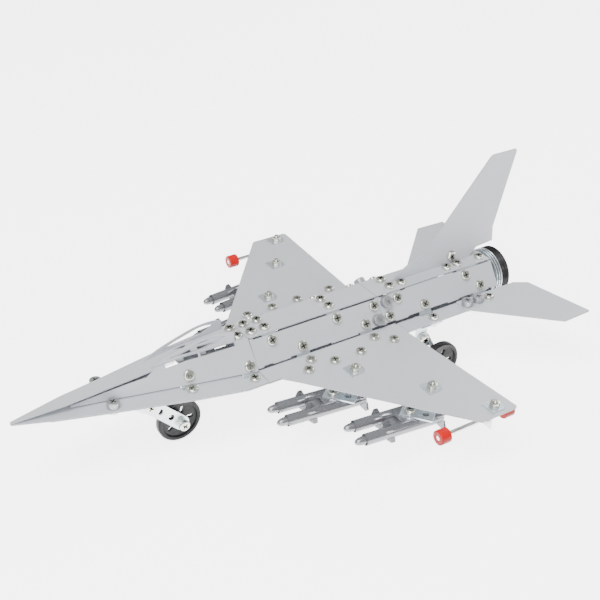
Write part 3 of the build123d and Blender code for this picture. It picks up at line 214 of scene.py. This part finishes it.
def zinc_plate(base):
    """Bright zinc: bluish clouds with straw tints, fine rolling lines and soft edges."""
    material, tree, shader, place = new_material("zinc_plate")
    rounded, edge = edge_mask(tree, 0.2 * MM)
    clouds = spread(tree, noise(tree, place, 120.0, 3.0), 0.0, 1.0)
    tone = blend_colours(tree, clouds, base, (0.70, 0.72, 0.69))
    tone = blend_colours(tree, spread(tree, noise(tree, place, 45.0, 2.0), 0.0, 0.5), tone,
                         (0.58, 0.68, 0.78))
    # painted shade: the edges darken towards dark grey, an outline of shade along them
    tone = blend_colours(tree, spread(tree, edge, 0.0, 0.75, 0.0, 1.0), tone, (0.16, 0.18, 0.20))
    tree.links.new(tone, shader.inputs["Base Color"])
    shader.inputs["Metallic"].default_value = 0.85
    lines = noise(tree, place, 700.0, 2.0, (1.0, 0.04, 1.0))
    tree.links.new(spread(tree, lines, 0.24, 0.42), shader.inputs["Roughness"])
    bump(tree, shader, lines, 0.12, 0.03 * MM, rounded)
    return material


def screw_plate(name, base, rough, metallic=1.0):
    """Plated steel with small tarnish spots."""
    material, tree, shader, place = new_material(name)
    spots = spread(tree, noise(tree, place, 650.0, 4.0), 0.0, 1.0, 0.42, 0.68)
    tone = blend_colours(tree, spots, base, shade(base, 0.72))
    warm = spread(tree, noise(tree, place, 210.0, 2.0), 0.0, 0.45)
    tone = blend_colours(tree, warm, tone, shade(base, 0.86))
    tree.links.new(tone, shader.inputs["Base Color"])
    shader.inputs["Metallic"].default_value = metallic
    tree.links.new(spread(tree, spots, rough, rough + 0.16, 0.0, 1.0), shader.inputs["Roughness"])
    bump(tree, shader, noise(tree, place, 1800.0, 2.0), 0.12, 0.03 * MM)
    return material


def silver_plastic(base):
    """Metal-flake grey moulding with flow clouds and a soft sheen."""
    material, tree, shader, place = new_material("silver_plastic")
    flow = spread(tree, noise(tree, place, 90.0, 4.0, (1.0, 0.25, 1.0)), 0.0, 1.0)
    flakes = spread(tree, noise(tree, place, 5200.0, 1.0), 0.0, 0.35, 0.55, 0.75)
    tone = blend_colours(tree, flow, base, shade(base, 0.86))
    tone = blend_colours(tree, flakes, tone, (0.55, 0.56, 0.60))
    tree.links.new(tone, shader.inputs["Base Color"])
    shader.inputs["Metallic"].default_value = 0.65
    tree.links.new(spread(tree, flow, 0.22, 0.31, 0.0, 1.0), shader.inputs["Roughness"])
    shader.inputs["Coat Weight"].default_value = 0.25
    shader.inputs["Coat Roughness"].default_value = 0.22
    bump(tree, shader, noise(tree, place, 1500.0, 2.0), 0.08, 0.04 * MM)
    return material


def moulded_plastic(name, base, dust, rough, grain):
    """Solid-colour moulding with a fine spark-eroded grain and a trace of dust."""
    material, tree, shader, place = new_material(name)
    film = spread(tree, noise(tree, place, 160.0, 5.0), 0.0, 1.0, 0.45, 0.75)
    tone = blend_colours(tree, film, base, dust)
    tree.links.new(tone, shader.inputs["Base Color"])
    tree.links.new(spread(tree, film, rough, rough + 0.15, 0.0, 1.0), shader.inputs["Roughness"])
    shader.inputs["Specular IOR Level"].default_value = 0.22
    bump(tree, shader, noise(tree, place, 1300.0, 3.0), grain, 0.06 * MM)
    return material


def floor_paper():
    """White studio paper with a faint tooth."""
    material, tree, shader, place = new_material("floor_paper")
    tooth = noise(tree, place, 300.0, 4.0)
    tone = blend_colours(tree, spread(tree, tooth, 0.0, 1.0), (0.93, 0.93, 0.93), (0.90, 0.90, 0.905))
    tree.links.new(tone, shader.inputs["Base Color"])
    shader.inputs["Roughness"].default_value = 0.9
    shader.inputs["Emission Color"].default_value = (1.0, 1.0, 1.0, 1.0)
    shader.inputs["Emission Strength"].default_value = 4.0
    bump(tree, shader, tooth, 0.05, 0.2 * MM)
    return material


# --- mesh building blocks
def finish_piece(name, bm, materials, body, smooth_angle=32.0):
    """Turn a bmesh into a piece that rides on a body."""
    mesh = bpy.data.meshes.new(name)
    bm.to_mesh(mesh)
    bm.free()
    for material in materials:
        mesh.materials.append(material)
    for face in mesh.polygons:
        face.use_smooth = True
    mesh.set_sharp_from_angle(angle=radians(smooth_angle))
    piece = bpy.data.objects.new(name, mesh)
    bpy.context.scene.collection.objects.link(piece)
    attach(piece, body)
    return piece


def merged_copy(node):
    """A closed bmesh of a CAD node."""
    bm = bmesh.new()
    bm.from_mesh(frame["nodes"][node].data)
    bmesh.ops.remove_doubles(bm, verts=bm.verts, dist=MERGE)
    return bm


def islands(bm):
    """The separate solids of a mesh, as lists of faces."""
    left = set(bm.faces)
    while left:
        front = [left.pop()]
        found = []
        while front:
            face = front.pop()
            found.append(face)
            beside = {near for edge in face.edges for near in edge.link_faces}
            front += [near for near in beside if near in left]
            left -= beside
        yield found


def flat_area(faces, normal):
    return sum(face.calc_area() for face in faces if face.normal.dot(normal) > SAME_NORMAL)


def seats_of(node):
    """Place, axis, side and lengths of each screw or nut in a CAD node, from its widest flat."""
    bm = merged_copy(node)
    seats = []
    for faces in islands(bm):
        normals = {tuple(round(value, 3) for value in face.normal): face.normal for face in faces}
        away = max(normals.values(), key=lambda normal: flat_area(faces, normal)).normalized()
        axis = -away
        flats = [face for face in faces if face.normal.dot(away) > SAME_NORMAL]
        verts = {vert for face in flats for vert in face.verts}
        level = max(vert.co.dot(axis) for vert in verts)
        ring = [vert.co for vert in verts if vert.co.dot(axis) > level - 0.01 * MM]
        centre = sum(ring, Vector()) / len(ring)
        heights = [vert.co.dot(axis) - level for face in faces for vert in face.verts]
        sides = [face for face in faces if abs(face.normal.dot(axis)) < 0.02]
        side = max(sides, key=lambda face: face.calc_area()).normal.copy()
        seats.append((centre, axis, side, max(heights), -min(heights)))
    bm.free()
    return sorted(seats, key=lambda seat: tuple(round(value, 6) for value in seat[0]))


def seat_matrix(centre, axis, side, turn=0.0):
    """A frame with +Z along the axis and +X as near the side as it gets."""
    along = (side - axis * side.dot(axis)).normalized()
    across = axis.cross(along)
    turned = along * cos(turn) + across * sin(turn)
    columns = Matrix((turned, axis.cross(turned), axis)).transposed().to_4x4()
    return Matrix.Translation(centre) @ columns


def spun(bm, profile, steps):
    """Spin a profile of (radius, height) points about Z and close its poles."""
    verts = [bm.verts.new((radius, 0.0, height)) for radius, height in profile]
    edges = [bm.edges.new(pair) for pair in zip(verts, verts[1:])]
    bmesh.ops.spin(bm, geom=verts + edges, cent=(0, 0, 0), axis=(0, 0, 1), angle=2 * pi, steps=steps,
                   use_merge=True)
    bmesh.ops.remove_doubles(bm, verts=bm.verts, dist=MERGE)


def thread_profile(radius, low, high, pitch, depth):
    """Zigzag of a thread from low to high, as (radius, height) points."""
    turns = max(int((high - low) / pitch), 1)
    step = (high - low) / turns
    points = []
    for turn in range(turns):
        points += [(radius - depth, low + turn * step), (radius, low + (turn + 0.5) * step)]
    return points


SCREW_RADIUS = 3.6 * MM
STUD_RADIUS = 4.0 * MM
STUD_ROUNDING = 0.5 * MM
TALLEST_PAN = 3.0 * MM
SHANK_RADIUS = 1.75 * MM
SCREW_STEPS = 24


def cross_outline(reach, width):
    """The twelve corners of a cross recess."""
    half = width / 2
    corners = []
    for quarter in range(4):
        turn = Matrix.Rotation(quarter * pi / 2, 2)
        corners += [turn @ Vector(corner) for corner in ((half, half), (reach, half), (reach, -half))]
    order = sorted(range(len(corners)), key=lambda i: (Vector((1, 0)).angle_signed(corners[i], 0)) % (2 * pi))
    return [corners[index] for index in reversed(order)]


def build_screw(head, shank, hardware):
    bm = bmesh.new()
    tall = head > TALLEST_PAN
    outer = STUD_RADIUS if tall else SCREW_RADIUS
    rim, crown = (head - STUD_ROUNDING, outer - STUD_ROUNDING) if tall else (0.58 * head, 2.5 * MM)
    profile = [(0.0, -shank), (SHANK_RADIUS - 0.45 * MM, -shank)]
    profile += thread_profile(SHANK_RADIUS, 0.3 * MM - shank, -0.2 * MM, hardware.thread_pitch,
                              hardware.thread_depth)
    profile += [(SHANK_RADIUS, 0.0), (outer - 0.15 * MM, 0.0), (outer, 0.15 * MM)]
    arc = [step / 6 * pi / 2 for step in range(7)]
    profile += [(crown + (outer - crown) * cos(angle), rim + (head - rim) * sin(angle))
                for angle in arc]
    spun(bm, profile, SCREW_STEPS)
    loop = [edge for edge in bm.edges if edge.is_boundary]
    outline = cross_outline(hardware.recess_reach, hardware.recess_width)
    mouth = [bm.verts.new((corner.x, corner.y, head)) for corner in outline]
    floor = [bm.verts.new((corner.x * 0.5, corner.y * 0.5, head - hardware.recess_depth))
             for corner in outline]
    rings = []
    for ring in (mouth, floor):
        rings.append([bm.edges.new(pair) for pair in zip(ring, ring[1:] + ring[:1])])
    bmesh.ops.bridge_loops(bm, edges=loop + rings[0])
    walls = bmesh.ops.bridge_loops(bm, edges=rings[0] + rings[1])["faces"]
    for face in walls + [bm.faces.new(floor)]:
        face.material_index = 1
    bmesh.ops.recalc_face_normals(bm, faces=bm.faces)
    mesh = bpy.data.meshes.new("screw")
    bm.to_mesh(mesh)
    bm.free()
    return mesh


def build_nut(across, height, hardware):
    """A hexagon nut that hangs from its seat, with chamfered corners and a plain bore."""
    bm = bmesh.new()
    corner = across / (2 * cos(pi / 6))
    bmesh.ops.create_circle(bm, cap_ends=False, radius=corner, segments=6,
                            matrix=Matrix.Rotation(pi / 6, 4, "Z"))
    outer = list(bm.edges)
    top = bmesh.ops.create_circle(bm, cap_ends=False, radius=SHANK_RADIUS + 0.04 * MM, segments=18)
    inner = [edge for edge in bm.edges if edge not in set(outer)]
    bmesh.ops.bridge_loops(bm, edges=outer + inner)
    solid = bmesh.ops.extrude_face_region(bm, geom=list(bm.faces))
    moved = [item for item in solid["geom"] if isinstance(item, bmesh.types.BMVert)]
    bmesh.ops.translate(bm, verts=moved, vec=(0, 0, -height))
    rims = [edge for edge in bm.edges
            if all(vert.co.xy.length > corner - 0.1 * MM for vert in edge.verts)]
    bmesh.ops.bevel(bm, geom=rims, offset=0.28 * MM, segments=2, profile=0.5, affect="EDGES",
                    material=-1)
    bmesh.ops.recalc_face_normals(bm, faces=bm.faces)
    mesh = bpy.data.meshes.new("nut")
    bm.to_mesh(mesh)
    bm.free()
    return mesh


def hardware_piece(node, materials, seed):
    """All screws and nuts of a CAD node as one detailed piece."""
    hardware = settings()[1]
    chance = random.Random(seed)
    bm = bmesh.new()
    made = {}
    for centre, axis, side, head, shank in seats_of(node):
        is_screw = head + shank > SHORTEST_SCREW
        key = (is_screw, round(head, 5), round(shank, 5))
        if key not in made:
            made[key] = (build_screw(head, shank, hardware) if is_screw
                         else build_nut(6.0 * MM, head + shank, hardware))
        before = set(bm.verts)
        bm.from_mesh(made[key])
        fresh = [vert for vert in bm.verts if vert not in before]
        turn = chance.uniform(0, pi / 2) if is_screw else 0.0
        lift = Matrix.Translation((0, 0, 0.0 if is_screw else head))
        bmesh.ops.transform(bm, matrix=seat_matrix(centre, axis, side, turn) @ lift, verts=fresh)
    name = node.replace("bolts", "screws")
    piece = finish_piece(f"{name}_detailed", bm, materials, frame_body(node), 38.0)
    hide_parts(node)
    return piece


def frame_body(node):
    """The body that a CAD node rides on."""
    bodies = frame["record"]["behaviour"]["bodies"]
    return next(body for body, nodes in bodies.items() if node in nodes)


def smooth_copy(node, material):
    """A smooth-shaded copy of a freely curved CAD node."""
    piece = finish_piece(f"{node}_moulded", merged_copy(node), [material], frame_body(node), 30.0)
    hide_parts(node)
    return piece


def refined(node, material, width):
    """A smooth copy of a moulded CAD node with its sharp edges rounded."""
    bm = merged_copy(node)
    bmesh.ops.dissolve_limit(bm, angle_limit=radians(1.0), verts=bm.verts, edges=bm.edges)
    sharp = [edge for edge in bm.edges
             if edge.is_manifold and edge.calc_face_angle(0.0) > radians(40)]
    bmesh.ops.bevel(bm, geom=sharp, offset=width, segments=2, profile=0.5, affect="EDGES",
                    clamp_overlap=True, material=-1)
    piece = finish_piece(f"{node}_moulded", bm, [material], frame_body(node), 35.0)
    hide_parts(node)
    return piece


def repaint(node, material):
    """Give a carried-over CAD node its finish."""
    mesh = frame["nodes"][node].data
    mesh.materials.clear()
    mesh.materials.append(material)


# --- operators
class KIT_OT_sheets(bpy.types.Operator):
    """Paint the folded sheets"""
    bl_idname = "kit.sheets"
    bl_label = "Painted sheets"

    def execute(self, context):
        paint = sheet_paint(tuple(settings()[0].sheet))
        for node in SHEETS:
            repaint(node, paint)
        return {"FINISHED"}


class KIT_OT_brackets(bpy.types.Operator):
    """Plate the brackets, straps, pylons and discs"""
    bl_idname = "kit.brackets"
    bl_label = "Zinc brackets"

    def execute(self, context):
        zinc = zinc_plate(tuple(settings()[0].zinc))
        for node in BRACKETS:
            repaint(node, zinc)
        return {"FINISHED"}


class KIT_OT_screws(bpy.types.Operator):
    """Model every screw with its thread and cross recess, and every nut"""
    bl_idname = "kit.screws"
    bl_label = "Screws and nuts"

    def execute(self, context):
        finishes = settings()[0]
        plated = screw_plate("screw_plate", tuple(finishes.screw), 0.16)
        # painted shade: the cross recess faces get this near-black material for the shade inside them
        recess = screw_plate("screw_recess_painted_shade", tuple(finishes.recess), 0.40, 0.6)
        steel = screw_plate("nut_plate", shade(tuple(finishes.screw), 0.9), 0.26)
        stud = screw_plate("stud_plate", tuple(finishes.stud), 0.42, 0.75)
        for seed, node in enumerate(SCREW_GROUPS):
            hardware_piece(node, (plated, recess), seed)
        hardware_piece("stud_bolts", (stud, recess), len(SCREW_GROUPS))
        for seed, node in enumerate(NUT_GROUPS):
            hardware_piece(node, (steel,), seed)
        return {"FINISHED"}


class KIT_OT_missiles(bpy.types.Operator):
    """Model the moulded missile pairs"""
    bl_idname = "kit.missiles"
    bl_label = "Missile pairs"

    def execute(self, context):
        silver = silver_plastic(tuple(settings()[0].missile))
        for node in MISSILES:
            smooth_copy(node, silver)
        return {"FINISHED"}


class KIT_OT_wheels(bpy.types.Operator):
    """Model the wheels and the exhaust rings"""
    bl_idname = "kit.wheels"
    bl_label = "Wheels and exhaust"

    def execute(self, context):
        black = moulded_plastic("black_plastic", tuple(settings()[0].black), (0.026, 0.026, 0.027),
                                0.34, 0.16)
        for node in WHEELS:
            refined(node, black, settings()[1].edge)
        return {"FINISHED"}


class KIT_OT_tips(bpy.types.Operator):
    """Model the wingtip rods and their red caps"""
    bl_idname = "kit.tips"
    bl_label = "Wingtip rods"

    def execute(self, context):
        red = moulded_plastic("red_plastic", tuple(settings()[0].red), (0.50, 0.012, 0.010), 0.26, 0.08)
        refined("tip_caps", red, settings()[1].edge)
        repaint("tip_rods", screw_plate("rod_steel", (0.80, 0.80, 0.78), 0.16))
        return {"FINISHED"}


class KIT_OT_studio(bpy.types.Operator):
    """Floor, soft lights and camera"""
    bl_idname = "kit.studio"
    bl_label = "Studio"

    def execute(self, context):
        studio_floor()
        studio_lights()
        studio_camera()
        return {"FINISHED"}


# --- stage
def studio_floor():
    bm = bmesh.new()
    bmesh.ops.create_grid(bm, x_segments=2, y_segments=2, size=6.0)
    mesh = bpy.data.meshes.new("floor")
    bm.to_mesh(mesh)
    bm.free()
    mesh.materials.append(floor_paper())
    floor = bpy.data.objects.new("floor", mesh)
    bpy.context.scene.collection.objects.link(floor)
    floor.visible_diffuse = False


def studio_lights():
    world = bpy.data.worlds.new("studio")
    world.use_nodes = True
    world.node_tree.nodes["Background"].inputs["Color"].default_value = (1.0, 1.0, 1.0, 1.0)
    world.node_tree.nodes["Background"].inputs["Strength"].default_value = 0.6
    bpy.context.scene.world = world
    middle = Vector((0.0, 0.0, 0.05))
    for name, place, size, power in (("key", (0.45, -0.6, 1.5), 0.9, 34.0),
                                     ("fill", (1.3, -0.9, 0.7), 0.6, 14.0),
                                     ("rim", (-0.4, 1.2, 0.9), 0.6, 8.0)):
        light = bpy.data.lights.new(name, "AREA")
        light.size = size
        light.energy = power
        lamp = bpy.data.objects.new(name, light)
        lamp.location = place
        lamp.rotation_euler = (middle - lamp.location).to_track_quat("-Z", "Y").to_euler()
        bpy.context.scene.collection.objects.link(lamp)


CAMERA_PLACE = Vector((0.5060, -0.3177, 0.4337))
CAMERA_TURN = radians(57.42)
CAMERA_HEIGHT = radians(30.84)
CAMERA_ROLL = radians(0.32)
CAMERA_LENS = 63.93


def studio_camera():
    back = Vector((sin(CAMERA_TURN) * cos(CAMERA_HEIGHT), -cos(CAMERA_TURN) * cos(CAMERA_HEIGHT),
                   sin(CAMERA_HEIGHT)))
    right = Vector((cos(CAMERA_TURN), sin(CAMERA_TURN), 0.0))
    up = back.cross(right)
    across = right * cos(CAMERA_ROLL) + up * sin(CAMERA_ROLL)
    upward = up * cos(CAMERA_ROLL) - right * sin(CAMERA_ROLL)
    data = bpy.data.cameras.new("camera")
    data.lens = CAMERA_LENS
    data.sensor_width = 36.0
    camera = bpy.data.objects.new("camera", data)
    turn = Matrix((across, upward, back)).transposed().to_4x4()
    camera.matrix_world = Matrix.Translation(CAMERA_PLACE) @ turn
    bpy.context.scene.collection.objects.link(camera)
    bpy.context.scene.camera = camera


class KIT_PT_panel(bpy.types.Panel):
    bl_idname = "KIT_PT_panel"
    bl_label = "Kit Jet Fighter"
    bl_space_type = "VIEW_3D"
    bl_region_type = "UI"
    bl_category = "Kit Jet"

    def draw(self, context):
        for group in (context.scene.kit_finishes, context.scene.kit_hardware):
            for name in group.__annotations__:
                self.layout.prop(group, name)
        for operator in OPERATORS:
            self.layout.operator(operator.bl_idname)


OPERATORS = (KIT_OT_sheets, KIT_OT_brackets, KIT_OT_screws, KIT_OT_missiles, KIT_OT_wheels,
             KIT_OT_tips, KIT_OT_studio)
CLASSES = (KitFinishes, KitHardware, *OPERATORS, KIT_PT_panel)


def register():
    for item in CLASSES:
        bpy.utils.register_class(item)
    bpy.types.Scene.kit_finishes = PointerProperty(type=KitFinishes)
    bpy.types.Scene.kit_hardware = PointerProperty(type=KitHardware)


def unregister():
    del bpy.types.Scene.kit_hardware
    del bpy.types.Scene.kit_finishes
    for item in reversed(CLASSES):
        bpy.utils.unregister_class(item)


def main():
    register()
    bpy.ops.kit.sheets()
    bpy.ops.kit.brackets()
    bpy.ops.kit.screws()
    bpy.ops.kit.missiles()
    bpy.ops.kit.wheels()
    bpy.ops.kit.tips()
    bpy.ops.kit.studio()


if __name__ == "__main__":
    main()
